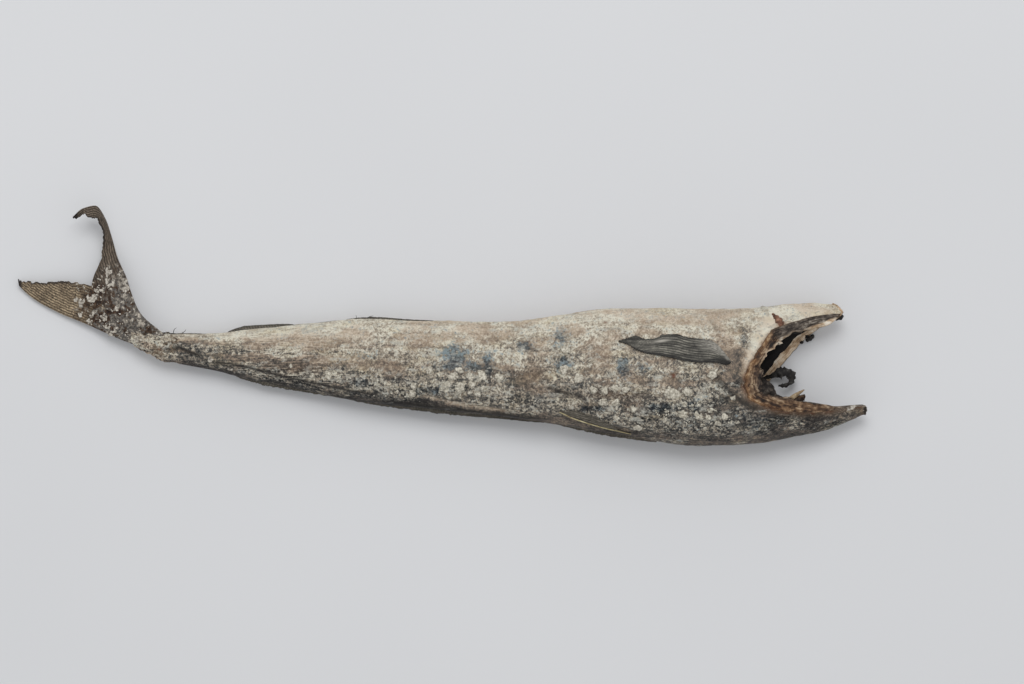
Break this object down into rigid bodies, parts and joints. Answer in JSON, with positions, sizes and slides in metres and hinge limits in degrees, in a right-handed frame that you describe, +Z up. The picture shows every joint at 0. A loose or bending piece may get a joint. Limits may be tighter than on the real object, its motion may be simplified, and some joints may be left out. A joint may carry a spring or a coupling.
{
  "type": "dried saithe",
  "caption": "Headed and gutted saithe, air-dried whole, lying on its side with a hollow collar, a slit belly, a pressed pectoral fin and a curled forked tail.",
  "frame": {"origin": "on the table, under the middle of the fish's box", "axes": "+X along the fish from the tail to the collar, +Y towards the belly, +Z up from the table"},
  "size_m": [0.7226, 0.2054, 0.0555],
  "materials": {
    "dried_skin": "matte, leathery, with pale crust"
  },
  "bodies": {
    "root": {"dried_saithe": "dried_skin"}
  },
  "joints": []
}
